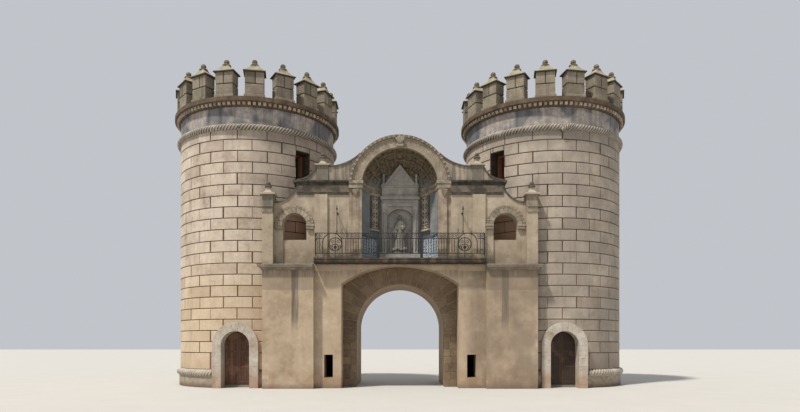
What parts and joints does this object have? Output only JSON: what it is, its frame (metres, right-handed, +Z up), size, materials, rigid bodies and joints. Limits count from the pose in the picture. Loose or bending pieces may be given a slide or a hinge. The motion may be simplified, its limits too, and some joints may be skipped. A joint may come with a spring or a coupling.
{
  "type": "twin-tower city gate",
  "caption": "Stone city gate with round battlemented towers, an arched passage, a balcony with an arched niche above it, and hinged tower doors.",
  "frame": {"origin": "centre of the footprint at ground level", "axes": "+X to the right of someone facing the front, +Y to the rear, +Z up"},
  "size_m": [23.59, 8.8348, 15.5161],
  "materials": {
    "tower_stone": "pale dressed blocks with brown joints",
    "pale_stone": "whitish worn stone",
    "weathered_stone": "grey stone with lichen",
    "brown_stone": "brown dressed stone",
    "plaster": "ochre lime plaster, stained",
    "floor_stone": "dark worn slabs",
    "altar_stone": "carved stone",
    "door_wood": "dark planks with iron nails",
    "iron": "black wrought iron"
  },
  "bodies": {
    "gate": {"left_tower_door_wall": "tower_stone", "left_tower_window_wall": "tower_stone", "left_tower_side_walls": "tower_stone", "left_tower_diagonal_walls": "tower_stone", "right_tower_door_wall": "tower_stone", "right_tower_window_wall": "tower_stone", "right_tower_side_walls": "tower_stone", "right_tower_diagonal_walls": "tower_stone", "ground_floors": "floor_stone", "tower_upper_floors": "floor_stone", "tower_decks": "floor_stone", "tower_base_ropes": "pale_stone", "tower_upper_ropes": "pale_stone", "tower_cornices": "weathered_stone", "merlons": "weathered_stone", "merlon_caps": "weathered_stone", "door_surrounds": "pale_stone", "door_pivot_brackets": "iron", "front_walls": "plaster", "corner_piers": "plaster", "pier_cornices": "brown_stone", "front_arch_head": "plaster", "gate_arch_ring": "brown_stone", "gate_arch_spandrel": "plaster", "passage_walls": "plaster", "passage_vault": "plaster", "rear_walls": "plaster", "terrace_slab": "floor_stone", "rear_parapet": "plaster", "balcony_slab": "floor_stone", "balcony_railing": "iron", "railing_ends": "iron", "balcony_uprights": "iron", "balcony_ties": "iron", "upper_side_walls": "plaster", "niche_walls": "plaster", "niche_back_wall": "plaster", "niche_vault": "plaster", "archivolt": "brown_stone", "entablature": "brown_stone", "attic_ramps": "plaster", "attic_pinnacles": "plaster", "copings": "plaster", "side_arch_walls": "plaster", "side_arch_mouldings": "brown_stone", "side_arch_parapets": "plaster", "pinnacle_piers": "plaster", "altar_aedicule": "altar_stone", "altar_panels": "altar_stone", "statue": "altar_stone"},
    "left_door_outer_leaf": {"left_door_outer_leaf": "door_wood"},
    "left_door_inner_leaf": {"left_door_inner_leaf": "door_wood"},
    "right_door_inner_leaf": {"right_door_inner_leaf": "door_wood"},
    "right_door_outer_leaf": {"right_door_outer_leaf": "door_wood"}
  },
  "joints": [
    {"name": "left_door_outer_hinge", "type": "hinge", "parent": "gate", "child": "left_door_outer_leaf", "pos_m": [-8.47, -3.2175, 0.13], "axis": [0, 0, 1], "range_deg": [0, 95]},
    {"name": "left_door_inner_hinge", "type": "hinge", "parent": "gate", "child": "left_door_inner_leaf", "pos_m": [-7.03, -3.2175, 0.13], "axis": [0, 0, -1], "range_deg": [0, 95]},
    {"name": "right_door_inner_hinge", "type": "hinge", "parent": "gate", "child": "right_door_inner_leaf", "pos_m": [7.03, -3.2175, 0.13], "axis": [0, 0, 1], "range_deg": [0, 95]},
    {"name": "right_door_outer_hinge", "type": "hinge", "parent": "gate", "child": "right_door_outer_leaf", "pos_m": [8.47, -3.2175, 0.13], "axis": [0, 0, -1], "range_deg": [0, 95]}
  ]
}
